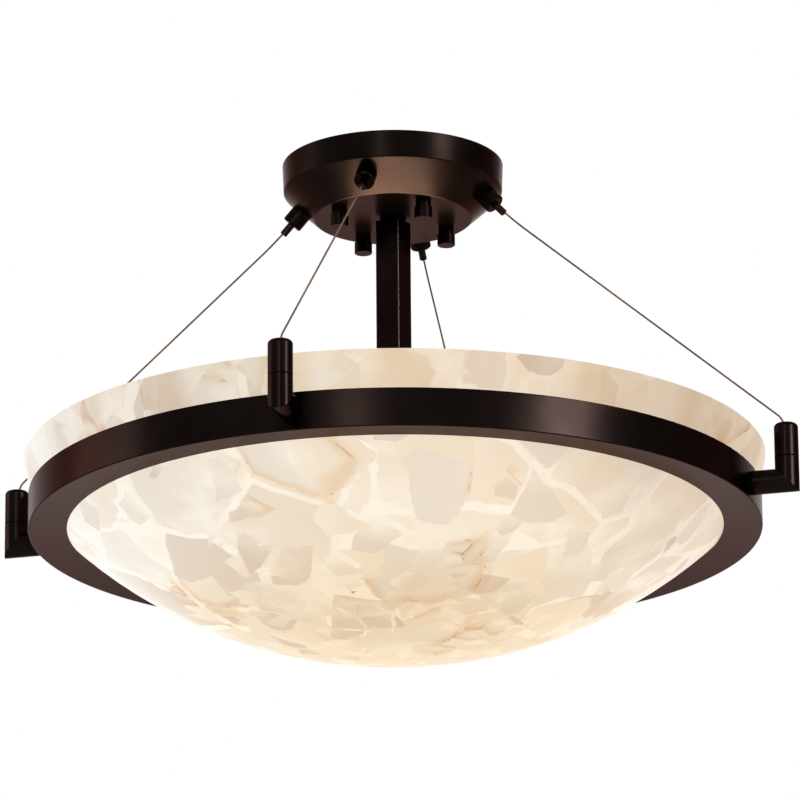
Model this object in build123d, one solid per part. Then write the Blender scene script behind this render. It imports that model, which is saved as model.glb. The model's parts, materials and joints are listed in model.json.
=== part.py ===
"""Semi-flush ceiling light: a shallow stone-mosaic bowl in a bronze ring, hung on four
cables from a round canopy, with a square centre stem that carries four lamps.

Millimetres, +Z up.  The origin is on the ceiling, at the centre of the canopy's top rim.
Azimuths are degrees from -Y towards +X, seen from above."""
from build123d import *
from math import asin, atan2, cos, degrees, hypot, radians, sin, sqrt, tan
import os

# ------------------------------------------------------------------ driving dimensions
running_gap = 0.05            # radial clearance of a turning or sliding fit
seat_gap = 0.1                # between faces that only rest on each other
edge_break = 0.5              # small chamfer on turned parts

# Canopy: a spun pan with a straight band, a cone and a flat floor
canopy_radius = 93.4
canopy_band_height = 22.8
canopy_band_draft = 0.9
canopy_depth = 46.5
canopy_floor_radius = 66.5
canopy_wall = 1.5
canopy_edge_radius = 1.6

# Mounting plate on the outlet box, with its slots and wire holes
plate_radius = 61.0
plate_thickness = 2.5
box_screw_spacing = 88.9
box_slot_width = 5.0
box_slot_length = 14.0
wire_hole_radius = 9.0
wire_hole_offset = 26.0
ground_screw_offset = 24.0
ground_screw_head = 4.0
ground_screw_height = 3.5

# Studs and knobs that hold the canopy up
knob_circle_radius = 51.7
knob_azimuth = 45.0
stud_radius = 2.4
stud_nut_flats = 8.0
stud_nut_height = 3.2
stud_engagement = 11.0
knob_radius = 7.5
knob_neck_radius = 6.5
knob_length = 15.0
knob_neck_length = 5.0

# Centre stem: threaded tube, collar and square tube
rod_radius = 5.0
rod_bore_radius = 3.5
rod_nut_flats = 14.0
rod_nut_height = 4.0
collar_radius = 11.0
collar_height = 3.0
stem_side = 22.0
stem_wall = 2.0
stem_corner_radius = 0.8
stem_corner_azimuth = 31.5

# Lamp cluster on the end of the stem
hub_side = 44.0
hub_height = 42.0
hub_wall = 3.0
hub_boss_height = 5.0
hub_cover_thickness = 3.0
finial_radius = 8.0
socket_rear_radius = 14.0
socket_rear_length = 12.0
socket_radius = 18.0
socket_length = 46.0
socket_depth = 30.0
socket_neck_radius = 6.0
lamp_base_radius = 13.2
lamp_base_length = 27.0
lamp_base_gap = 0.4
lamp_globe_radius = 30.0
lamp_glass_length = 81.0
lamp_neck_length = 8.0
lamp_glass = 1.2
lamp_height = 30.0            # lamp axes above the underside of the ring

# Ring: an upright band with an inward flange at its foot, which rises a little towards the bowl
ring_drop = 323.0             # ceiling to the underside of the ring
ring_radius = 305.0
ring_height = 31.5
ring_wall = 3.0
ring_flange_width = 32.2
ring_flange_rise = 2.4
ring_flange = 3.0
ring_edge_radius = 0.8

# Posts outside the ring, each in two halves on a mitred arm
post_count = 4
post_radius = 10.0
post_reach = 28.0             # post axes out from the ring's face
post_foot_height = 7.3        # underside of the arm above the underside of the ring
post_height = 58.2
post_seam_height = 29.1
post_top_round = 3.5
post_seam_bevel = 0.5
spigot_radius = 6.0
spigot_length = 10.0
arm_screw_radius = 2.0
arm_screw_length = 14.0
arm_screw_head_radius = 3.8
arm_screw_head_height = 2.2

# Cable grippers on the canopy's cone
gripper_place = 0.56          # share of the cone's slope, from its foot up
gripper_radius = 8.75
gripper_length = 12.7
gripper_neck_radius = 5.2
gripper_neck_length = 9.0
gripper_lip = 2.5
gripper_nut_flats = 15.0
gripper_nut_height = 4.0
plunger_radius = 3.1
plunger_reach = 11.0
plunger_head_radius = 4.1
plunger_head_height = 2.0

# Suspension cables and their end ferrules
cable_radius = 0.8
cable_bore_radius = 1.2
cable_tail = 8.0              # left inside the canopy, past the gripper's neck
cable_lead_out = 2.6          # from the plunger's tip to the cable's first bend
cable_lead_radius = 40.0
cable_rise = 2.5              # from the post's top up to the cable's last bend
cable_run_share = 0.45        # share of the shorter run that a bend takes up
ferrule_radius = 2.8
ferrule_length = 9.0
ferrule_depth = 14.0          # top of the ferrule below the post's top

# Bowl: a crown arc and a tighter wall arc, both offset by the wall
bowl_crown_radius = 410.0
bowl_wall_radius = 81.0
bowl_rim_overhang = 3.94      # rim out from the ring's face
bowl_rim_angle = 83.0
bowl_flange_gap = 0.4         # crown clear of the flange's bevelled inner edge
bowl_thickness = 5.0
bowl_rim_round = 1.2
pad_count = 8
pad_setback = 4.6             # pads out from the flange's inner edge
pad_width = 5.5
pad_sweep = 9.0

# ------------------------------------------------------------------ places worked out from them
ring_z = -ring_drop
ring_opening_radius = ring_radius - ring_flange_width
post_circle_radius = ring_radius + post_reach
post_foot_z = ring_z + post_foot_height
post_seam_z = post_foot_z + post_seam_height
post_top_z = post_foot_z + post_height
arm_z = post_foot_z + post_radius
stem_top_z = -canopy_depth - collar_height
lamp_z = ring_z + lamp_height
hub_top_z = lamp_z + hub_height / 2
hub_foot_z = lamp_z - hub_height / 2
post_azimuths = [360.0 / post_count * n for n in range(post_count)]
knob_azimuths = [knob_azimuth + azimuth for azimuth in post_azimuths]
lamp_azimuths = [stem_corner_azimuth + 45.0 + 90.0 * n for n in range(4)]

# The cone's outward direction and the grippers' place on it, in (radius, height)
cone_top = (canopy_radius - canopy_band_draft, -canopy_band_height)
cone_foot = (canopy_floor_radius, -canopy_depth)
cone_slope = hypot(cone_top[0] - cone_foot[0], cone_top[1] - cone_foot[1])
cone_out = ((cone_top[1] - cone_foot[1]) / cone_slope, -(cone_top[0] - cone_foot[0]) / cone_slope)
gripper_spot = (cone_foot[0] + gripper_place * (cone_top[0] - cone_foot[0]),
                cone_foot[1] + gripper_place * (cone_top[1] - cone_foot[1]))

# The crown's sphere clears the flange's inner edge; the wall arc starts where both arcs share a tangent
bowl_seat_radius = bowl_crown_radius + bowl_flange_gap
bowl_centre_z = ring_z + ring_flange_rise + sqrt(bowl_seat_radius ** 2 - ring_opening_radius ** 2)
bowl_wall_circle = ring_radius + bowl_rim_overhang - bowl_wall_radius * sin(radians(bowl_rim_angle))
bowl_crown_angle = degrees(asin(bowl_wall_circle / (bowl_crown_radius - bowl_wall_radius)))
ferrule_top_z = post_top_z - ferrule_depth


# ------------------------------------------------------------------ small helpers
def turned(points):
    """A solid of revolution about Z from a closed outline of (radius, height) points."""
    return revolve(Plane.XZ * Polygon(*points, align=None), Axis.Z)


def pin(radius, low, high):
    """An upright cylinder between two heights."""
    return Pos(0, 0, low) * Cylinder(radius, high - low, align=(Align.CENTER, Align.CENTER, Align.MIN))


def block(side, low, high):
    """An upright square bar between two heights."""
    return Pos(0, 0, low) * Box(side, side, high - low, align=(Align.CENTER, Align.CENTER, Align.MIN))


def hex_nut(flats, bore, low, high):
    """An upright hexagon nut."""
    outline = RegularPolygon(flats / 2, 6, major_radius=False)
    return Pos(0, 0, low) * extrude(outline, high - low) - pin(bore, low - 1, high + 1)


def around(shape, azimuth):
    """Turns a shape built over +X to an azimuth."""
    return Rot(0, 0, azimuth - 90) * shape


def on_axis(shape, radius, height, out):
    """Stands an upright shape at (radius, height) over +X, along a direction given as (radius, height)."""
    return Plane(origin=(radius, 0, height), x_dir=(0, 1, 0), z_dir=(out[0], 0, out[1])) * shape


def arc_point(centre_z, centre_r, radius, angle):
    """A point on an arc in (radius, height), its angle counted from straight down."""
    return (centre_r + radius * sin(radians(angle)), centre_z - radius * cos(radians(angle)))


nodes = {}

# ------------------------------------------------------------------ canopy and what it hides
gripper_hole = pin(gripper_neck_radius + running_gap, -gripper_neck_length, gripper_length)


def at_gripper(shape):
    return on_axis(shape, *gripper_spot, cone_out)


def canopy_blank():
    """The pan before it is hollowed, which the grippers are also trimmed against."""
    blank = turned([(0, 0), (canopy_radius, 0), cone_top, cone_foot, (0, -canopy_depth)])
    rims = blank.edges().filter_by(GeomType.CIRCLE).filter_by(lambda edge: edge.center().Z < -edge_break)
    return fillet(rims, canopy_edge_radius)


def canopy_pan():
    """The hollowed pan, open to the ceiling, before its holes."""
    blank = canopy_blank()
    return offset(blank, -canopy_wall, openings=blank.faces().sort_by(Axis.Z)[-1])


def canopy():
    pan = canopy_pan() - pin(rod_radius + running_gap, -canopy_depth - 1, 0)
    for azimuth in knob_azimuths:
        stud_hole = pin(stud_radius + seat_gap, -canopy_depth - 1, 0)
        pan -= around(Pos(knob_circle_radius, 0, 0) * stud_hole, azimuth)
    for azimuth in post_azimuths:
        pan -= around(at_gripper(gripper_hole), azimuth)
    return pan


def mounting_plate():
    plate = pin(plate_radius, -plate_thickness, 0) - pin(rod_radius + running_gap, -plate_thickness, 0)
    for side in (-1, 1):
        slot = extrude(SlotOverall(box_slot_length, box_slot_width), plate_thickness * 4, both=True)
        plate -= Pos(side * box_screw_spacing / 2, 0, 0) * slot
        plate -= Pos(0, side * wire_hole_offset, 0) * pin(wire_hole_radius, -plate_thickness, 0)
    for azimuth in knob_azimuths:
        stud_hole = pin(stud_radius + running_gap, -plate_thickness, 0)
        plate -= around(Pos(knob_circle_radius, 0, 0) * stud_hole, azimuth)
    return plate


def ground_screw():
    head = pin(ground_screw_head, -plate_thickness - ground_screw_height, -plate_thickness)
    slot = Pos(0, 0, -plate_thickness - ground_screw_height) * Box(
        ground_screw_head * 3, ground_screw_head / 4, ground_screw_height / 2)
    return Pos(-ground_screw_offset, 0, 0) * (head - slot)


def canopy_studs():
    stud = pin(stud_radius, -canopy_depth - stud_engagement, 0)
    return [around(Pos(knob_circle_radius, 0, 0) * stud, azimuth) for azimuth in knob_azimuths]


def stud_nuts():
    nut = hex_nut(stud_nut_flats, stud_radius + running_gap, -plate_thickness - stud_nut_height, -plate_thickness)
    return [around(Pos(knob_circle_radius, 0, 0) * nut, azimuth) for azimuth in knob_azimuths]


def canopy_knob():
    top = -canopy_depth - seat_gap
    shoulder = top - knob_neck_length
    foot = top - knob_length
    knob = pin(knob_neck_radius, shoulder, top) + pin(knob_radius, foot, shoulder)
    rims = knob.edges().filter_by(GeomType.CIRCLE).sort_by(Axis.Z)
    knob = chamfer([rims[0], rims[1]], edge_break)
    knob -= pin(stud_radius + running_gap, -canopy_depth - stud_engagement - 1, 0)
    return Pos(knob_circle_radius, 0, 0) * knob


nodes["canopy"] = canopy()
nodes["mounting_plate"] = mounting_plate()
nodes["ground_screw"] = ground_screw()
nodes["canopy_studs"] = Compound(canopy_studs())
nodes["stud_nuts"] = Compound(stud_nuts())
for number, azimuth in enumerate(knob_azimuths, 1):
    nodes[f"canopy_knob_{number}"] = around(canopy_knob(), azimuth)


# ------------------------------------------------------------------ centre stem
def stem_square(side, low, high):
    """A square bar with its corner on the stem's azimuth."""
    return around(Rot(0, 0, 45) * block(side, low, high), stem_corner_azimuth)


def threaded_rod():
    foot = hub_foot_z - hub_cover_thickness - rod_nut_height
    return pin(rod_radius, foot, 0) - pin(rod_bore_radius, foot - 1, 1)


def rod_nuts():
    spans = [
        (-plate_thickness - rod_nut_height, -plate_thickness),
        (-canopy_depth + canopy_wall, -canopy_depth + canopy_wall + rod_nut_height),
        (hub_top_z - hub_wall - rod_nut_height, hub_top_z - hub_wall),
    ]
    return [hex_nut(rod_nut_flats, rod_radius + running_gap, low, high) for low, high in spans]


def stem_collar():
    collar = pin(collar_radius, stem_top_z, -canopy_depth)
    return collar - pin(rod_radius + running_gap, stem_top_z - 1, 0)


def stem():
    tube = stem_square(stem_side, hub_top_z, stem_top_z)
    tube = fillet(tube.edges().filter_by(Axis.Z), stem_corner_radius)
    tube -= stem_square(stem_side - 2 * stem_wall, hub_top_z - 1, stem_top_z - stem_wall)
    return tube - pin(rod_radius + running_gap, hub_top_z, stem_top_z + 1)


def lamp_hub():
    hub = stem_square(hub_side, hub_foot_z, hub_top_z)
    hub = fillet(hub.edges().filter_by(Axis.Z), stem_corner_radius * 3)
    hub -= stem_square(hub_side - 2 * hub_wall, hub_foot_z - 1, hub_top_z - hub_wall)
    hub += stem_square(stem_side - 2 * stem_wall - 2 * seat_gap, hub_top_z, hub_top_z + hub_boss_height)
    hub -= pin(rod_radius + running_gap, hub_foot_z, hub_top_z + hub_boss_height + 1)
    for azimuth in lamp_azimuths:
        hub -= around(along_lamp(pin(socket_neck_radius + running_gap, -hub_wall * 2, 1)), azimuth)
    return hub


def hub_cover():
    cover = stem_square(hub_side, hub_foot_z - hub_cover_thickness, hub_foot_z)
    cover = fillet(cover.edges().filter_by(Axis.Z), stem_corner_radius * 3)
    return cover - pin(rod_radius + running_gap, hub_foot_z - hub_cover_thickness - 1, hub_foot_z + 1)


def finial():
    """A domed cap nut that closes the stem's lower end."""
    top = hub_foot_z - hub_cover_thickness
    body = pin(finial_radius, top - rod_nut_height, top)
    dome = Pos(0, 0, top - rod_nut_height) * Sphere(finial_radius)
    dome &= pin(finial_radius * 2, top - rod_nut_height - finial_radius, top - rod_nut_height)
    return body + dome - pin(rod_radius + running_gap, top - rod_nut_height, top + 1)


# ------------------------------------------------------------------ lamps
def along_lamp(shape):
    """Lays an upright shape along a lamp's axis, its zero on the hub's face and its top outwards."""
    return on_axis(shape, hub_side / 2, lamp_z, (1, 0))


def lamp_socket():
    cup = turned([
        (0, 0), (socket_rear_radius, 0), (socket_rear_radius, socket_rear_length),
        (socket_radius, socket_rear_length + socket_radius - socket_rear_radius),
        (socket_radius, socket_length), (0, socket_length)])
    cup -= pin(lamp_base_radius + lamp_base_gap, socket_length - socket_depth, socket_length + 1)
    cup += pin(socket_neck_radius, -hub_wall * 1.5, 0)
    return along_lamp(cup)


def lamp_base():
    """Screw shell with its insulator cone and centre contact, seated at the bottom of the socket."""
    foot = socket_length - socket_depth + seat_gap
    shell_foot = foot + lamp_base_length * 0.25
    top = foot + lamp_base_length
    return along_lamp(turned([
        (0, foot), (lamp_base_radius * 0.36, foot), (lamp_base_radius * 0.36, foot + 1.5),
        (lamp_base_radius, shell_foot), (lamp_base_radius, top), (0, top)]))


def lamp_globe():
    """Thin glass: a short neck, a cone tangent to the round end, and the round end."""
    foot = socket_length - socket_depth + seat_gap + lamp_base_length
    centre = foot + lamp_glass_length - lamp_globe_radius

    def envelope(inset):
        neck = lamp_base_radius - inset
        ball = lamp_globe_radius - inset
        reach = centre - foot - lamp_neck_length
        lean = asin(ball / hypot(reach, neck)) - atan2(neck, reach)
        touch = (ball * cos(lean), centre - ball * sin(lean))
        crest = (ball * sin(radians(45)), centre + ball * cos(radians(45)))
        outline = [
            Line((0, foot), (neck, foot)),
            Line((neck, foot), (neck, foot + lamp_neck_length)),
            Line((neck, foot + lamp_neck_length), touch),
            ThreePointArc(touch, crest, (0, centre + ball)),
            Line((0, centre + ball), (0, foot)),
        ]
        return revolve(Plane.XZ * make_face(outline), Axis.Z)

    return along_lamp(envelope(0) - envelope(lamp_glass))


nodes["threaded_rod"] = threaded_rod()
nodes["rod_nuts"] = Compound(rod_nuts())
nodes["stem_collar"] = stem_collar()
nodes["stem"] = stem()
nodes["lamp_hub"] = lamp_hub()
nodes["hub_cover"] = hub_cover()
nodes["hub_finial"] = finial()
for number, azimuth in enumerate(lamp_azimuths, 1):
    nodes[f"lamp_socket_{number}"] = around(lamp_socket(), azimuth)
    nodes[f"lamp_base_{number}"] = around(lamp_base(), azimuth)
    nodes[f"lamp_globe_{number}"] = around(lamp_globe(), azimuth)


# ------------------------------------------------------------------ ring and posts
def flange_z(radius):
    """Height of the flange's underside at a radius."""
    return ring_z + ring_flange_rise * (ring_radius - radius) / ring_flange_width


def ring():
    inner = ring_radius - ring_wall
    opening = ring_opening_radius
    band = turned([
        (opening, flange_z(opening)), (ring_radius, ring_z), (ring_radius, ring_z + ring_height),
        (inner, ring_z + ring_height), (inner, flange_z(inner) + ring_flange),
        (opening, flange_z(opening) + ring_flange)])
    rims = band.edges().filter_by(GeomType.CIRCLE)
    outer_rims = rims.filter_by(lambda edge: edge.radius > ring_radius - ring_wall / 2)
    band = fillet(outer_rims, ring_edge_radius)
    band -= Pos(0, 0, bowl_centre_z) * Sphere(bowl_seat_radius)
    for azimuth in post_azimuths:
        band -= around(along_arm(pin(arm_screw_radius + running_gap, -ring_wall * 2, 1)), azimuth)
    return band


def along_arm(shape):
    """Lays an upright shape along an arm's axis, its zero on the ring's outer face."""
    return on_axis(shape, ring_radius, arm_z, (1, 0))


def post_base():
    """A round bar mitred into an elbow: the arm meets the ring, the other leg ends at the seam."""
    start = (ring_radius - ring_wall, 0, arm_z)
    corner = (post_circle_radius, 0, arm_z)
    top = (post_circle_radius, 0, post_seam_z)
    section = Plane(origin=start, z_dir=(1, 0, 0)) * Circle(post_radius)
    elbow = sweep(section, path=Polyline(start, corner, top), transition=Transition.RIGHT)
    seam = elbow.edges().filter_by(GeomType.CIRCLE).sort_by(Axis.Z)[-1]
    elbow = chamfer(seam, post_seam_bevel)
    elbow -= pin(ring_radius, ring_z - 1, ring_z + ring_height * 2)
    elbow -= along_arm(pin(arm_screw_radius + running_gap, -1, arm_screw_length + 1))
    bore = pin(spigot_radius + running_gap, post_seam_z - spigot_length - 1, post_seam_z + 1)
    return elbow - Pos(post_circle_radius, 0, 0) * bore


def arm_screws():
    seat = -ring_wall - seat_gap
    head = seat - arm_screw_head_height
    screw = pin(arm_screw_radius, seat, arm_screw_length) + pin(arm_screw_head_radius, head, seat)
    screw = fillet(screw.edges().filter_by(GeomType.CIRCLE).sort_by(Axis.Z)[0], arm_screw_head_height / 2)
    return [around(along_arm(screw), azimuth) for azimuth in post_azimuths]


def post_cap():
    """The upper half: it screws down on the lower one and clamps the cable's ferrule."""
    cap = pin(post_radius, post_seam_z + seat_gap, post_top_z)
    rims = cap.edges().filter_by(GeomType.CIRCLE).sort_by(Axis.Z)
    cap = fillet(rims[-1], post_top_round)
    cap = chamfer(cap.edges().filter_by(GeomType.CIRCLE).sort_by(Axis.Z)[0], post_seam_bevel)
    cap += pin(spigot_radius, post_seam_z - spigot_length, post_seam_z + post_seam_bevel * 2)
    cap -= pin(ferrule_radius + seat_gap, post_seam_z - spigot_length - 1, ferrule_top_z + seat_gap)
    cap -= pin(cable_bore_radius, ferrule_top_z - 1, post_top_z + 1)
    mouth = cable_bore_radius * 3
    cap -= Pos(0, 0, post_top_z - mouth / 2) * Cone(cable_bore_radius, mouth / 2 + cable_bore_radius, mouth)
    return Pos(post_circle_radius, 0, 0) * cap


nodes["ring"] = ring()
nodes["arm_screws"] = Compound(arm_screws())
for number, azimuth in enumerate(post_azimuths, 1):
    nodes[f"post_base_{number}"] = around(post_base(), azimuth)
    nodes[f"post_cap_{number}"] = around(post_cap(), azimuth)


# ------------------------------------------------------------------ grippers
def gripper_barrel():
    barrel = pin(gripper_radius, -canopy_wall * 2, gripper_length)
    barrel = chamfer(barrel.edges().filter_by(GeomType.CIRCLE).sort_by(Axis.Z)[-1], edge_break * 2)
    barrel = at_gripper(barrel) - canopy_blank()
    barrel += at_gripper(pin(gripper_neck_radius, -gripper_neck_length, gripper_length / 2))
    chamber = pin(plunger_head_radius + running_gap, -gripper_neck_length - 1, gripper_length - gripper_lip)
    return barrel - at_gripper(chamber) - at_gripper(pin(plunger_radius + running_gap, 0, gripper_length + 1))


def gripper_plunger():
    """The release button: pushed in, it frees the cable so that the ring can be levelled."""
    button = pin(plunger_radius, gripper_length - gripper_lip - plunger_head_height, gripper_length + plunger_reach)
    button = chamfer(button.edges().filter_by(GeomType.CIRCLE).sort_by(Axis.Z)[-1], edge_break)
    head_top = gripper_length - gripper_lip - running_gap
    button += pin(plunger_head_radius, head_top - plunger_head_height, head_top)
    return at_gripper(button - pin(cable_bore_radius, 0, gripper_length + plunger_reach + 1))


def gripper_nuts():
    """Nuts inside the cone, their faces trimmed to its curve."""
    nut = hex_nut(gripper_nut_flats, gripper_neck_radius + running_gap,
                  -canopy_wall - gripper_nut_height, -canopy_wall)
    nut = at_gripper(nut) - canopy_pan()
    return [around(nut, azimuth) for azimuth in post_azimuths]


nodes["gripper_nuts"] = Compound(gripper_nuts())
for number, azimuth in enumerate(post_azimuths, 1):
    nodes[f"gripper_barrel_{number}"] = around(gripper_barrel(), azimuth)
    nodes[f"gripper_plunger_{number}"] = around(gripper_plunger(), azimuth)


# ------------------------------------------------------------------ cables
def gripper_point(reach):
    """A point on the gripper's axis, over +X."""
    return Vector(gripper_spot[0] + reach * cone_out[0], 0, gripper_spot[1] + reach * cone_out[1])


def cable():
    """Straight along the gripper, straight down to the post, and straight into the post."""
    route = [
        gripper_point(-gripper_neck_length - cable_tail),
        gripper_point(gripper_length + plunger_reach + cable_lead_out),
        Vector(post_circle_radius, 0, post_top_z + cable_rise),
        Vector(post_circle_radius, 0, ferrule_top_z),
    ]
    turn = radians((route[2] - route[1]).get_angle(route[3] - route[2]))
    shorter = (route[3] - route[2]).length
    post_bend = cable_run_share * shorter / tan(turn / 2)
    path = FilletPolyline(*route, radius=[cable_lead_radius, post_bend])
    start = Plane(origin=route[0], z_dir=route[1] - route[0])
    return sweep(start * Circle(cable_radius), path=path), post_bend, path.length


def ferrules():
    ferrule = Pos(post_circle_radius, 0, 0) * pin(ferrule_radius, ferrule_top_z - ferrule_length, ferrule_top_z)
    return [around(ferrule, azimuth) for azimuth in post_azimuths]


cable_solid, cable_bend, cable_length = cable()
for number, azimuth in enumerate(post_azimuths, 1):
    nodes[f"suspension_cable_{number}"] = around(cable_solid, azimuth)
nodes["cable_ferrules"] = Compound(ferrules())


# ------------------------------------------------------------------ bowl
def bowl_outline(inset):
    """The crown and wall arcs, moved in by a share of the bowl's thickness."""
    crown = bowl_crown_radius - inset
    wall = bowl_wall_radius - inset
    offset_radius = bowl_crown_radius - bowl_wall_radius
    wall_centre = arc_point(bowl_centre_z, 0, offset_radius, bowl_crown_angle)
    middle_angle = (bowl_crown_angle + bowl_rim_angle) / 2
    lowest = arc_point(bowl_centre_z, 0, crown, 0)
    crown_middle = arc_point(bowl_centre_z, 0, crown, bowl_crown_angle / 2)
    shoulder = arc_point(bowl_centre_z, 0, crown, bowl_crown_angle)
    wall_middle = arc_point(wall_centre[1], wall_centre[0], wall, middle_angle)
    rim = arc_point(wall_centre[1], wall_centre[0], wall, bowl_rim_angle)
    return [ThreePointArc(lowest, crown_middle, shoulder), ThreePointArc(shoulder, wall_middle, rim)], lowest, rim


def bowl():
    outside, outside_low, outside_rim = bowl_outline(0)
    inside, inside_low, inside_rim = bowl_outline(bowl_thickness)
    section = make_face([*outside, *inside, Line(outside_low, inside_low), Line(outside_rim, inside_rim)])
    shell = revolve(Plane.XZ * section, Axis.Z)
    rims = shell.edges().filter_by(GeomType.CIRCLE).sort_by(Axis.Z)
    return fillet([rims[-1], rims[-2]], bowl_rim_round)


def bowl_pads():
    """Soft wedges on the flange, cut to the bowl's crown, that carry its weight."""
    inner = ring_opening_radius + pad_setback
    outer = inner + pad_width
    blank = make_face(Polyline(
        (inner, flange_z(inner) + ring_flange), (outer, flange_z(outer) + ring_flange),
        (outer, ring_z + ring_height), (inner, ring_z + ring_height), close=True))
    section = blank - Pos(0, bowl_centre_z) * Circle(bowl_crown_radius + seat_gap)
    pad = Rot(0, 0, -pad_sweep / 2) * revolve(Plane.XZ * section, Axis.Z, pad_sweep)
    return [around(pad, 360.0 / pad_count * (n + 0.5)) for n in range(pad_count)]


nodes["bowl"] = bowl()
nodes["bowl_pads"] = Compound(bowl_pads())

# ------------------------------------------------------------------ files
os.makedirs("parts", exist_ok=True)
for name, shape in nodes.items():
    export_step(shape, os.path.join("parts", name + ".step"))

section_area = 3.14159265 * cable_radius ** 2
print(f"nodes: {len(nodes)}")
print(f"cable length {cable_length:.1f} mm, bend radii {cable_lead_radius:.1f} and {cable_bend:.1f} mm")
print(f"cable volume {cable_solid.volume:.1f}, section times length {section_area * cable_length:.1f} mm3")
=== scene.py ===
"""The looks of the semi-flush ceiling light: dark bronze metal, four cables, a lit alabaster bowl.

Metres, +Z up, the origin on the ceiling at the canopy's centre.  Azimuths are degrees from -Y
towards +X.
"""
import bpy
import json
from math import cos, radians, sin
from mathutils import Matrix, Vector


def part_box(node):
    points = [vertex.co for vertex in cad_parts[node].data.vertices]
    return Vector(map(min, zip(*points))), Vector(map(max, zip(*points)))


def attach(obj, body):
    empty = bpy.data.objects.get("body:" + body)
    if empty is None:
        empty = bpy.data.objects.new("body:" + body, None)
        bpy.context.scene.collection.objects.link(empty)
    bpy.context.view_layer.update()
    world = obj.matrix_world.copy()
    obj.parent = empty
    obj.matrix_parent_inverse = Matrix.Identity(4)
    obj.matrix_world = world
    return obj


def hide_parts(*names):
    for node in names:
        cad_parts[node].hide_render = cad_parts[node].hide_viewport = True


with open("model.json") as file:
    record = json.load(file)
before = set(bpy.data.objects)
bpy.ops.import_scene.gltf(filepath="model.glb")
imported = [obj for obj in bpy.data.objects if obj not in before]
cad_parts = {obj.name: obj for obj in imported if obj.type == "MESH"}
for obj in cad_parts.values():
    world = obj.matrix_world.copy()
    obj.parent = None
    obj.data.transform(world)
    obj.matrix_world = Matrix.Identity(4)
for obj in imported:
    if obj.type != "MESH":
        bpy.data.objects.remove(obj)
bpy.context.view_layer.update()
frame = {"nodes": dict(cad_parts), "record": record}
nodes = frame["nodes"]

# ------------------------------------------------------------------ sizes read from the frame
RING_LOW, RING_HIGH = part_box("ring")
BOWL_LOW, BOWL_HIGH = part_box("bowl")
STEM_LOW, STEM_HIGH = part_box("stem")
RING_RADIUS = RING_HIGH.x
RING_FOOT = RING_LOW.z
MM = 0.001


def srgb(red, green, blue):
    """A colour written as 0-255 display values, as the linear one that Blender takes."""
    def linear(value):
        value /= 255
        return value / 12.92 if value <= 0.04045 else ((value + 0.055) / 1.055) ** 2.4
    return (linear(red), linear(green), linear(blue), 1.0)


def grey(value):
    """A linear grey."""
    return (value, value, value, 1.0)


def at_azimuth(radius, azimuth, height):
    """The point at this azimuth, this far from the centre line."""
    angle = radians(azimuth)
    return Vector((radius * sin(angle), -radius * cos(angle), height))


def add_object(name, data):
    made = bpy.data.objects.new(name, data)
    bpy.context.scene.collection.objects.link(made)
    return made


# ------------------------------------------------------------------ camera, from the photograph
CAMERA_AZIMUTH = 15.5
CAMERA_ELEVATION = 16.12        # degrees below the ring, seen from the ring's centre
CAMERA_DISTANCE = 16.0 * RING_RADIUS
CAMERA_LENS = 264.1
CAMERA_PITCH = 0.3041           # radians upwards
CAMERA_YAW = 0.001
CAMERA_ROLL = -0.0079
CAMERA_CLIP = (0.1, 100.0)


def make_camera():
    data = bpy.data.cameras.new("camera")
    data.lens = CAMERA_LENS
    data.clip_start, data.clip_end = CAMERA_CLIP
    camera = add_object("camera", data)
    level = Vector((sin(CAMERA_YAW), cos(CAMERA_YAW), 0))
    forward = level * cos(CAMERA_PITCH) + Vector((0, 0, sin(CAMERA_PITCH)))
    level_right = Vector((cos(CAMERA_YAW), -sin(CAMERA_YAW), 0))
    level_up = level_right.cross(forward)
    right = cos(CAMERA_ROLL) * level_right + sin(CAMERA_ROLL) * level_up
    up = -sin(CAMERA_ROLL) * level_right + cos(CAMERA_ROLL) * level_up
    turn = Matrix.Rotation(radians(CAMERA_AZIMUTH), 3, "Z")
    axes = Matrix((turn @ right, turn @ up, turn @ -forward)).transposed()
    below = radians(CAMERA_ELEVATION)
    place = turn @ Vector((0, -CAMERA_DISTANCE * cos(below), -CAMERA_DISTANCE * sin(below)))
    place += Vector((0, 0, RING_FOOT))
    camera.matrix_world = Matrix.Translation(place) @ axes.to_4x4()
    bpy.context.scene.camera = camera


make_camera()


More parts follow.
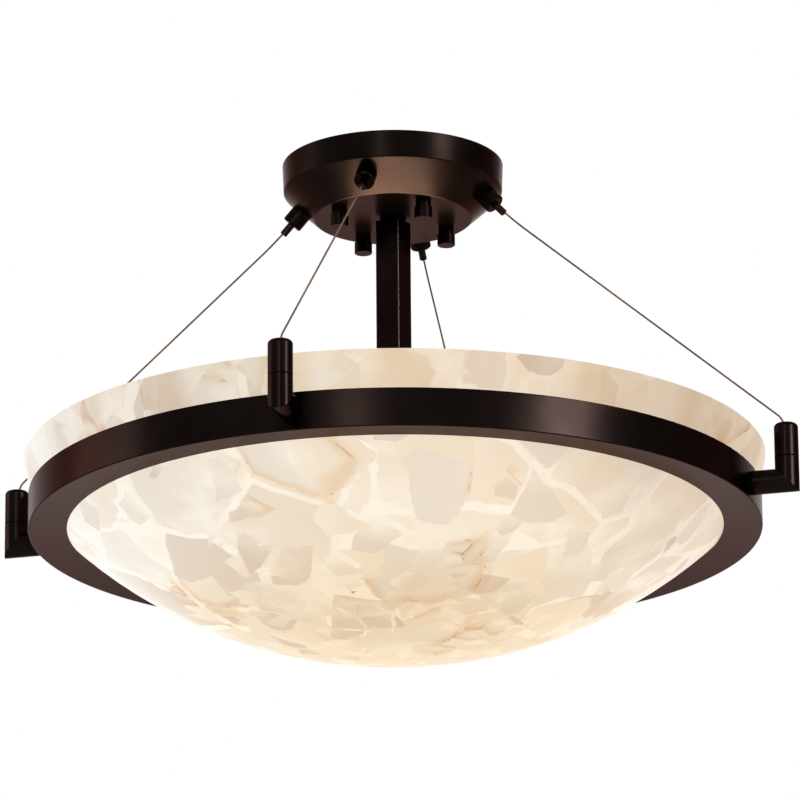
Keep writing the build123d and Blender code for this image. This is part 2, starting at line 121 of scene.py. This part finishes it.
# ------------------------------------------------------------------ node helpers
class Tree:
    """Short calls for building the nodes of a material or of the world.

    Any input can be given as a plain value or as another node's output."""

    def __init__(self, owner, shader="Principled BSDF"):
        owner.use_nodes = True
        self.owner = owner
        self.nodes = owner.node_tree.nodes
        self.links = owner.node_tree.links
        self.shader = self.nodes[shader]
        self.texture = self.add("ShaderNodeTexCoord").outputs
        self.position = self.texture["Object"]

    def add(self, kind, **settings):
        node = self.nodes.new(kind)
        for key, value in settings.items():
            setattr(node, key, value)
        return node

    def put(self, socket, value):
        if isinstance(value, bpy.types.NodeSocket):
            self.links.new(value, socket)
        else:
            socket.default_value = value

    def fill(self, node, *values):
        """Fill the node's first inputs in their order."""
        for socket, value in zip(node.inputs, values):
            self.put(socket, value)

    def set(self, name, value):
        """Set one of the shader's own inputs."""
        self.put(self.shader.inputs[name], value)

    def math(self, operation, *values, clamp=False):
        node = self.add("ShaderNodeMath", operation=operation, use_clamp=clamp)
        self.fill(node, *values)
        return node.outputs[0]

    def product(self, first, *others):
        for other in others:
            first = self.math("MULTIPLY", first, other)
        return first

    def vector(self, operation, *values):
        node = self.add("ShaderNodeVectorMath", operation=operation)
        self.fill(node, *values)
        return node.outputs["Value" if operation == "DOT_PRODUCT" else "Vector"]

    def scaled(self, value, factor):
        node = self.add("ShaderNodeVectorMath", operation="SCALE")
        self.put(node.inputs[0], value)
        self.put(node.inputs["Scale"], factor)
        return node.outputs["Vector"]

    def ramp(self, value, low, high, out_low=0.0, out_high=1.0, smooth=True):
        """Carry low..high over to out_low..out_high, and stay level beyond them."""
        shape = "SMOOTHSTEP" if smooth else "LINEAR"
        node = self.add("ShaderNodeMapRange", interpolation_type=shape)
        self.fill(node, value, low, high, out_low, out_high)
        return node.outputs[0]

    def mix(self, factor, first, second, blend="MIX"):
        node = self.add("ShaderNodeMix", data_type="RGBA", blend_type=blend)
        self.put(node.inputs[0], factor)
        self.put(node.inputs[6], first)
        self.put(node.inputs[7], second)
        return node.outputs[2]

    def times(self, first, second):
        """One colour multiplied by another."""
        return self.mix(1.0, first, second, "MULTIPLY")

    def noise(self, scale, detail=2.0, roughness=0.5, place=None, output="Fac"):
        node = self.add("ShaderNodeTexNoise")
        self.put(node.inputs["Vector"], place or self.position)
        self.put(node.inputs["Scale"], scale)
        self.put(node.inputs["Detail"], detail)
        self.put(node.inputs["Roughness"], roughness)
        return node.outputs[output]

    def cells(self, scale, place, feature="F1"):
        node = self.add("ShaderNodeTexVoronoi", feature=feature)
        self.put(node.inputs["Vector"], place)
        self.put(node.inputs["Scale"], scale)
        return node.outputs

    def split(self, colour):
        node = self.add("ShaderNodeSeparateColor")
        self.put(node.inputs[0], colour)
        return node.outputs

    def axis(self, name):
        node = self.add("ShaderNodeSeparateXYZ")
        self.put(node.inputs[0], self.position)
        return node.outputs[name]

    def bump(self, height, strength, distance):
        node = self.add("ShaderNodeBump")
        self.put(node.inputs["Height"], height)
        self.put(node.inputs["Strength"], strength)
        self.put(node.inputs["Distance"], distance)
        self.set("Normal", node.outputs[0])


def surface(name):
    return Tree(bpy.data.materials.new(name))


# ------------------------------------------------------------------ metals and plain finishes
MIDDLE = (0.3, 0.7)             # the part of a noise that runs from one tone to the other
PATCH_SCALE = 18.0              # slow patches of tone
GRAIN_SCALE = 900.0             # fine grain
GRAIN_GLOSS = 0.03              # how far the grain moves the roughness
PATCH_GLOSS = 0.045             # how far the patches move it
PEEL_STRENGTH, PEEL_DEPTH = 0.05, 0.0002

# Distances from the stem's centre line at which the painted highlight on its rounded corners
# begins, is full and ends
CORNER_BEGIN, CORNER_FULL, CORNER_END = 0.01485, 0.01508, 0.0156


def stem_corner_highlight(tree):
    """1 on the stem's four rounded corners and 0 elsewhere: where a painted highlight lies along
    them.
    """
    flat = tree.vector("MULTIPLY", tree.position, (1.0, 1.0, 0.0))
    square = tree.vector("DOT_PRODUCT", flat, flat)
    height = tree.axis("Z")
    above = tree.math("GREATER_THAN", height, STEM_LOW.z + MM)
    below = tree.math("LESS_THAN", height, STEM_HIGH.z - MM)
    within = tree.math("LESS_THAN", square, CORNER_END ** 2)
    corner_highlight = tree.ramp(square, CORNER_BEGIN ** 2, CORNER_FULL ** 2)
    return tree.product(above, below, within, corner_highlight)


def finish(name, dark, light, roughness, metallic=0.0, specular=0.5, tint=None, corner_highlight=None):
    """A satin finish: slow patches of tone, a fine grain in its gloss and a faint orange peel."""
    tree = surface(name)
    slow = tree.noise(PATCH_SCALE, detail=3.0, roughness=0.55)
    fine = tree.noise(GRAIN_SCALE, detail=2.0, roughness=0.6)
    colour = tree.mix(tree.ramp(slow, *MIDDLE), dark, light)
    # A painted highlight along the stem's rounded corners, when one is given
    if corner_highlight:
        colour = tree.mix(stem_corner_highlight(tree), colour, corner_highlight)
    tree.set("Base Color", colour)
    grain = tree.product(tree.math("SUBTRACT", fine, 0.5), GRAIN_GLOSS)
    patch = tree.product(tree.math("SUBTRACT", slow, 0.5), PATCH_GLOSS)
    uneven = tree.math("ADD", grain, patch)
    tree.set("Roughness", tree.math("ADD", uneven, roughness, clamp=True))
    tree.set("Metallic", metallic)
    tree.set("Specular IOR Level", specular)
    if tint:
        tree.set("Specular Tint", tint)
    tree.bump(fine, PEEL_STRENGTH, PEEL_DEPTH)
    return tree.owner


# The bronze carries a painted highlight on the stem's corners
BRONZE = finish("bronze", srgb(16, 11, 10), srgb(21, 15, 13), 0.26, metallic=1.0,
                tint=(0.60, 0.52, 0.512, 1.0), corner_highlight=srgb(67, 53, 50))
NICKEL = finish("dark_nickel", srgb(28, 20, 17), srgb(40, 29, 25), 0.25, metallic=1.0,
                tint=(0.64, 0.55, 0.53, 1.0))
ZINC = finish("zinc_steel", srgb(150, 150, 146), srgb(172, 171, 166), 0.35, metallic=1.0)
GREEN = finish("green_steel", srgb(22, 96, 44), srgb(34, 118, 58), 0.4)
PORCELAIN = finish("porcelain", srgb(228, 226, 218), srgb(238, 236, 229), 0.2)
LAMP_METAL = finish("lamp_aluminium", srgb(170, 168, 162), srgb(196, 194, 188), 0.3, metallic=1.0)
RUBBER = finish("pad_rubber", srgb(24, 24, 24), srgb(34, 33, 32), 0.7)
CABLE = finish("cable_steel", srgb(74, 53, 39), srgb(104, 76, 56), 0.5, metallic=0.2,
               specular=0.2)


# ------------------------------------------------------------------ lamp glass
LAMP_HAZE_SCALE = 60.0
LAMP_STRENGTH = 0.80
LAMP_ROUGHNESS = 0.35


def lit_glass():
    """The frosted lamp glass, glowing warm."""
    tree = surface("lamp_glass")
    haze = tree.noise(LAMP_HAZE_SCALE)
    tree.set("Base Color", tree.mix(haze, srgb(120, 112, 98), srgb(132, 126, 112)))
    tree.set("Emission Color", tree.mix(haze, srgb(255, 240, 214), srgb(255, 248, 232)))
    tree.set("Emission Strength", LAMP_STRENGTH)
    tree.set("Roughness", LAMP_ROUGHNESS)
    return tree.owner


LAMP_GLASS = lit_glass()


# ------------------------------------------------------------------ alabaster
# Tones of the gaps between the chips, of the chips, and of the rust along their edges
GAP = srgb(254, 247, 233)
GAP_SHADE = srgb(250, 239, 221)
CHIP_WARM = srgb(243, 229, 207)
CHIP_COOL = srgb(235, 225, 209)
CHIP_DEEP = srgb(220, 203, 183)
# Painted light: the paler tone laid over the -X side
PAINTED_LIGHT_PALE = srgb(248, 245, 241)
VEIN = srgb(186, 124, 74)
STAIN = srgb(240, 214, 180)
# Tones that are laid over all of it: painted light and painted shade from side to side, a warmer
# tone at the foot, and painted shade on the wall above the ring
SIDE_COOL = srgb(252, 253, 255)
SIDE_WARM = srgb(252, 247, 241)
SIDE_PAINTED_SHADE = srgb(229, 220, 212)
FOOT_WARM = srgb(247, 235, 216)
RIM_PAINTED_SHADE = srgb(244, 243, 243)
RIM_BAND_PAINTED_SHADE = srgb(234, 226, 218)

STONE_GLOW = 0.90               # share of the stone's tone that is painted glow, for the lamps' light shining through it
STONE_STRENGTH = 0.95           # strength of that glow
STONE_ROUGHNESS = 0.34
STONE_SPECULAR = 0.06
RELIEF_STRENGTH, RELIEF_DEPTH = 0.08, 0.0006

# The place on the stone is bent before the chips are drawn: once slowly, once for ragged edges
WARP_SCALE, WARP_REACH = 14.0, 0.018
RAGGED_SCALE, RAGGED_REACH = 150.0, 0.0036

CLOUD_SCALE = 34.0
GAP_CLOUDS = (0.4, 0.7)
SOFT_SCALE = 9.0                # where the chips' edges are soft, and where crisp
SOFT_RANGE = (0.45, 0.66)
SOFT_WIDTH = (0.0006, 0.0026)

# Each layer of chips: cells per metre, the share of them that is there, how much they cover,
# and a shift that sets it apart from the others
CHIP_LAYERS = (
    (12.0, 1.00, 0.97, (0.4, 0.0, 0.0)),
    (17.0, 0.45, 0.95, (3.1, 7.7, 1.3)),
    (27.0, 0.20, 0.92, (9.2, 2.4, 5.5)),
    (36.0, 0.02, 0.92, (5.2, 8.4, 2.5)),
)
LOW_SHARE = 0.45                # how many more of the chips are there at the lowest point
LOW_HEIGHT = 0.064              # how far up from the lowest point that reaches

# Shares of a cell: how far its edges are drawn in, and how far out its two planes cut it
DRAWN_IN = (0.015, 0.055)
CUT_OUT = (0.25, 0.60)
HALF = (0.5, 0.5, 0.5)
SKEW = (0.31, 0.87, 0.38)       # turns a chip's first plane into its second

DEEP_RANGE = (0.55, 1.0)
FADE_REACH = 0.35               # share of a cell over which a chip fades into the gaps' tone
FADE_SHARE = 0.60
CLOUD_FADE = (0.3, 1.5)

# Rust: which chips have it, where on the stone it lies, and how it breaks up
RUSTY_FROM = 0.70
RUST_SCALE, RUST_RANGE = 11.0, (0.54, 0.64)
BREAK_SCALE, BREAK_RANGE = 52.0, (0.50, 0.60)
VEIN_WIDTH = (0.0003, 0.0009)
VEIN_SHARE = 0.62
HALO_WIDTH = 0.009
HALO_SHARE = 0.50

# Places from side to side, along X, for the painted light and the painted shade
PAINTED_LIGHT_SIDE, PAINTED_LIGHT_SHARE = (-0.27, -0.13), 0.45
COOL_TO_WARM = (-0.30, 0.22)
WARM_TO_PAINTED_SHADE = (0.13, 0.28)

# The wall above the ring: its painted shade in soft upright bands, and its rusty seams
WALL_EDGE = (RING_HIGH.z - 12 * MM, RING_HIGH.z + 6 * MM)
UPRIGHT = (1.0, 1.0, 0.15)      # draws a noise out along Z
BAND_SCALE, BAND_RANGE = 15.0, (0.40, 0.62)
SEAM_SCALE, SEAM_SHIFT = 17.0, (4.0, 1.0, 2.0)
SEAM_WIDTH = (0.002, 0.030)
SEAM_PATCH_SCALE, SEAM_PATCH_RANGE = 7.0, (0.50, 0.60)
SEAM_SHARE = 0.32


def chip(tree, place, scale):
    """Irregular flakes: a cell drawn in from its edges and cut by two planes of its own.

    Returns the depth inside the flake in metres, the cell's three random numbers and a slope
    across it."""
    cell = tree.cells(scale, place)
    edge = tree.cells(scale, place, "DISTANCE_TO_EDGE")["Distance"]
    random = tree.split(cell["Color"])
    local = tree.vector("SUBTRACT", place, cell["Position"])
    lean = tree.vector("NORMALIZE", tree.vector("SUBTRACT", cell["Color"], HALF))
    cross = tree.vector("NORMALIZE", tree.vector("CROSS_PRODUCT", lean, SKEW))
    slope = tree.vector("DOT_PRODUCT", local, lean)
    side = tree.vector("DOT_PRODUCT", local, cross)

    def share_of_cell(number, shares):
        return tree.ramp(number, 0.0, 1.0, *(share / scale for share in shares), smooth=False)

    depth = tree.math("SUBTRACT", tree.math("DIVIDE", edge, scale),
                      share_of_cell(random[2], DRAWN_IN))
    for along, number in ((slope, random[0]), (side, random[1])):
        inside = tree.math("SUBTRACT", share_of_cell(number, CUT_OUT), along)
        depth = tree.math("MINIMUM", depth, inside)
    return depth, random, slope


def chip_tone(tree, random, slope, scale, cloud):
    """A chip's own tone, which fades into the gaps' tone along its slope."""
    tone = tree.mix(tree.ramp(random[0], *MIDDLE), CHIP_WARM, CHIP_COOL)
    tone = tree.mix(tree.ramp(random[2], *DEEP_RANGE), tone, CHIP_DEEP)
    fade = tree.ramp(slope, -FADE_REACH / scale, FADE_REACH / scale, 0.0, FADE_SHARE)
    return tree.mix(tree.product(fade, tree.ramp(cloud, *MIDDLE, *CLOUD_FADE)), tone, GAP)


def mosaic(tree, low):
    """The chips in their gaps, with rust along some of them.  Returns the tone and the relief."""
    warp = tree.noise(WARP_SCALE, output="Color")
    ragged = tree.noise(RAGGED_SCALE, detail=4.0, roughness=0.6, output="Color")
    place = tree.vector("ADD", tree.position, tree.scaled(warp, WARP_REACH))
    place = tree.vector("ADD", place, tree.scaled(ragged, RAGGED_REACH))
    cloud = tree.noise(CLOUD_SCALE, detail=4.0, roughness=0.6)
    soft = tree.ramp(tree.noise(SOFT_SCALE, detail=1.0), *SOFT_RANGE, *SOFT_WIDTH)
    colour = tree.mix(tree.ramp(cloud, *GAP_CLOUDS), GAP, GAP_SHADE)
    relief, vein, halo = 0.0, 0.0, 0.0
    for scale, share, cover, shift in CHIP_LAYERS:
        depth, random, slope = chip(tree, tree.vector("ADD", place, shift), scale)
        there = tree.math("LESS_THAN", random[1], tree.math("MULTIPLY_ADD", low, LOW_SHARE, share))
        inside = tree.product(tree.ramp(depth, 0.0, soft), there)
        tone = chip_tone(tree, random, slope, scale, cloud)
        colour = tree.mix(tree.product(inside, cover), colour, tone)
        relief = tree.math("ADD", relief, inside)
        from_edge = tree.math("ABSOLUTE", depth)
        rusty = tree.product(tree.math("GREATER_THAN", random[0], RUSTY_FROM), there)
        on_edge = tree.product(tree.ramp(from_edge, *VEIN_WIDTH, 1.0, 0.0), rusty)
        near_edge = tree.product(tree.ramp(from_edge, 0.0, HALO_WIDTH, 1.0, 0.0), rusty)
        vein = tree.math("MAXIMUM", vein, on_edge)
        halo = tree.math("MAXIMUM", halo, near_edge)
    rust = tree.ramp(tree.noise(RUST_SCALE, detail=1.0), *RUST_RANGE)
    broken = tree.ramp(tree.noise(BREAK_SCALE, detail=3.0, roughness=0.7), *BREAK_RANGE)
    colour = tree.mix(tree.product(halo, rust, HALO_SHARE), colour, tree.times(colour, STAIN))
    return tree.mix(tree.product(vein, rust, broken, VEIN_SHARE), colour, VEIN), relief


def painted_side_light_and_shade(tree, colour):
    """Painted light and shade: cooler and paler towards -X, warmer and deeper with painted shade
    towards +X.
    """
    across = tree.axis("X")
    # Painted light towards -X, painted shade towards +X
    colour = tree.mix(tree.ramp(across, *PAINTED_LIGHT_SIDE, PAINTED_LIGHT_SHARE, 0.0), colour, PAINTED_LIGHT_PALE)
    side = tree.mix(tree.ramp(across, *COOL_TO_WARM), SIDE_COOL, SIDE_WARM)
    side = tree.mix(tree.ramp(across, *WARM_TO_PAINTED_SHADE), side, SIDE_PAINTED_SHADE)
    return tree.times(colour, side)


def rim_painted_shade_and_seams(tree, colour):
    """The wall above the ring: darkened by painted shade in soft upright bands, with a few rusty
    seams.
    """
    wall = tree.ramp(tree.axis("Z"), *WALL_EDGE)
    upright = tree.vector("MULTIPLY", tree.position, UPRIGHT)
    band = tree.ramp(tree.noise(BAND_SCALE, place=upright), *BAND_RANGE)
    # Painted shade over the wall above the ring, in soft upright bands
    colour = tree.mix(wall, colour, tree.times(colour, tree.mix(band, RIM_PAINTED_SHADE, RIM_BAND_PAINTED_SHADE)))
    shifted = tree.vector("ADD", upright, SEAM_SHIFT)
    seam = tree.noise(SEAM_SCALE, detail=3.0, roughness=0.55, place=shifted)
    from_seam = tree.math("ABSOLUTE", tree.math("SUBTRACT", seam, 0.5))
    seam = tree.ramp(from_seam, *SEAM_WIDTH, 1.0, 0.0)
    patch = tree.ramp(tree.noise(SEAM_PATCH_SCALE, detail=1.0, place=upright), *SEAM_PATCH_RANGE)
    return tree.mix(tree.product(seam, wall, patch, SEAM_SHARE), colour, VEIN)


def stone():
    """The bowl's alabaster, with the lamps' light through it painted on as its own glow."""
    tree = surface("alabaster")
    low = tree.ramp(tree.axis("Z"), BOWL_LOW.z, BOWL_LOW.z + LOW_HEIGHT, 1.0, 0.0)
    colour, relief = mosaic(tree, low)
    colour = painted_side_light_and_shade(tree, colour)
    colour = tree.mix(low, colour, tree.times(colour, FOOT_WARM))
    colour = rim_painted_shade_and_seams(tree, colour)
    tree.set("Base Color", tree.times(colour, grey(1 - STONE_GLOW)))
    tree.set("Emission Color", colour)
    tree.set("Emission Strength", STONE_STRENGTH)
    tree.set("Roughness", STONE_ROUGHNESS)
    tree.set("Specular IOR Level", STONE_SPECULAR)
    tree.bump(relief, RELIEF_STRENGTH, RELIEF_DEPTH)
    return tree.owner


ALABASTER = stone()

FINISH = {
    "bronze": BRONZE,
    "zinc_steel": ZINC,
    "nickel": NICKEL,
    "cable_steel": CABLE,
    "green_steel": GREEN,
    "porcelain": PORCELAIN,
    "lamp_aluminium": LAMP_METAL,
    "lamp_glass": LAMP_GLASS,
    "alabaster": ALABASTER,
    "pad_rubber": RUBBER,
}
for part in frame["record"]["subparts"]:
    mesh = nodes[part["node"]].data
    mesh.materials.clear()
    mesh.materials.append(FINISH[part["material_slot"]])


# ------------------------------------------------------------------ cables
CABLE_DIAMETER = 1.6 * MM
CABLE_ROUNDING = 3              # Blender's steps round the cable and along each span of it
CABLE_STEPS = 24
CABLE_ORDER = 3
POST_AZIMUTHS = (0.0, 90.0, 180.0, 270.0)
# The route over one post, as (radius, height) in metres, from inside the canopy to the ferrule
CABLE_ROUTE = (
    (0.06961, -0.02066), (0.09878, -0.05267), (0.13155, -0.08098),
    (0.32051, -0.24421), (0.33300, -0.25500), (0.33300, -0.27150),
)


def make_cable(number, azimuth):
    route = [at_azimuth(radius, azimuth, height) for radius, height in CABLE_ROUTE]
    curve = bpy.data.curves.new(f"cable_{number}", "CURVE")
    curve.dimensions = "3D"
    curve.bevel_depth = CABLE_DIAMETER / 2
    curve.bevel_resolution = CABLE_ROUNDING
    curve.resolution_u = CABLE_STEPS
    spline = curve.splines.new("NURBS")
    spline.points.add(len(route) - 1)
    for point, place in zip(spline.points, route):
        point.co = (*place, 1.0)
    spline.order_u = CABLE_ORDER
    spline.use_endpoint_u = True
    curve.materials.append(CABLE)
    cable = add_object(f"cable_{number}", curve)
    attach(cable, "fixture")
    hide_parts(f"suspension_cable_{number}")


for number, azimuth in enumerate(POST_AZIMUTHS, 1):
    make_cable(number, azimuth)


# ------------------------------------------------------------------ floor, world and lamps
FLOOR_DEPTH = 7.0               # low enough that a camera under the bowl is above it
FLOOR_REACH = 80.0
FLOOR_ROUGHNESS = 0.9
FLOOR_SEEN = 0.38               # what the floor shines by itself to the camera
FLOOR_MIRRORED = 0.80           # what it shines by itself in reflections
SPECK_SCALE = 3.0

WORLD_SEEN = 1.0                # white to the camera and in reflections
WORLD_FILL = 0.55               # what lights the object
# A darker side of the room, which only reflections show: its azimuth and rise, how near a
# direction is to it (a cosine) where it begins and is full, and how much darker it is there
DARK_TOWARD = (122.5, 0.3)
DARK_RANGE = (0.72, 0.95)
DARK_SHARE = 0.5

GLOW_SIZE = 0.34
GLOW_POWER = 11.0
GLOW_COLOUR = (1.0, 0.84, 0.62)

# Soft boxes: azimuth from the camera's, elevation, distance, width, height and watts
SOFT_BOXES = {
    "key": (51, 11, 3.0, 0.8, 0.7, 86),
    "front": (-12, 12, 3.2, 0.5, 0.8, 15),
    "side": (-98, 12, 3.0, 1.6, 0.8, 22),
}


def make_floor():
    mesh = bpy.data.meshes.new("floor")
    corners = [(x * FLOOR_REACH, y * FLOOR_REACH, -FLOOR_DEPTH)
               for x, y in ((-1, -1), (1, -1), (1, 1), (-1, 1))]
    mesh.from_pydata(corners, [], [(0, 1, 2, 3)])
    floor = add_object("floor", mesh)
    tree = surface("floor_paint")
    speck = tree.noise(SPECK_SCALE, detail=3.0)
    tree.set("Base Color", tree.mix(speck, srgb(240, 240, 239), srgb(246, 246, 245)))
    tree.set("Roughness", FLOOR_ROUGHNESS)
    tree.set("Specular IOR Level", 0.0)
    path = tree.add("ShaderNodeLightPath").outputs
    seen = tree.math("MAXIMUM", path["Is Camera Ray"], path["Is Transmission Ray"])
    seen = tree.product(seen, FLOOR_SEEN)
    mirrored = tree.product(path["Is Glossy Ray"], FLOOR_MIRRORED)
    tree.set("Emission Color", grey(1.0))
    tree.set("Emission Strength", tree.math("ADD", seen, mirrored))
    mesh.materials.append(tree.owner)


def make_world():
    world = bpy.data.worlds.new("world")
    bpy.context.scene.world = world
    tree = Tree(world, "Background")
    path = tree.add("ShaderNodeLightPath").outputs
    seen = path["Is Camera Ray"]
    for kind in ("Is Glossy Ray", "Is Transmission Ray"):
        seen = tree.math("MAXIMUM", seen, path[kind])
    direction = tree.texture["Generated"]
    toward = tree.vector("DOT_PRODUCT", direction, at_azimuth(1.0, *DARK_TOWARD))
    dark = tree.ramp(toward, *DARK_RANGE, 0.0, -DARK_SHARE, smooth=False)
    bright = tree.math("MULTIPLY_ADD", dark, path["Is Glossy Ray"], WORLD_SEEN)
    tree.set("Color", grey(1.0))
    tree.set("Strength", tree.ramp(seen, 0.0, 1.0, WORLD_FILL, bright, smooth=False))


def make_area_light(name, power):
    data = bpy.data.lights.new(name, "AREA")
    data.energy = power
    light = add_object(name, data)
    light.visible_camera = False
    return light


def make_glow():
    """The light that the lamps and the bowl's inside throw up on the canopy, and on it alone."""
    glow = make_area_light("glow", GLOW_POWER)
    glow.data.shape = "DISK"
    glow.data.size = GLOW_SIZE
    glow.data.color = GLOW_COLOUR
    glow.location = (0, 0, BOWL_HIGH.z)
    glow.rotation_euler = (radians(180), 0, 0)
    lit = bpy.data.collections.new("glow_receivers")
    lit.objects.link(nodes["canopy"])
    glow.light_linking.receiver_collection = lit


def make_soft_box(name, azimuth, elevation, distance, width, height, power):
    """A rectangle of light that faces the fixture."""
    box = make_area_light(name, power)
    box.data.shape = "RECTANGLE"
    box.data.size = width
    box.data.size_y = height
    aim = Vector((0, 0, RING_FOOT))
    up = radians(elevation)
    box.location = aim + at_azimuth(distance * cos(up), azimuth + CAMERA_AZIMUTH,
                                    distance * sin(up))
    box.rotation_euler = (aim - box.location).to_track_quat("-Z", "Y").to_euler()


make_floor()
make_world()
make_glow()
for name, values in SOFT_BOXES.items():
    make_soft_box(name, *values)

scene = bpy.context.scene
scene.view_settings.view_transform = "Standard"
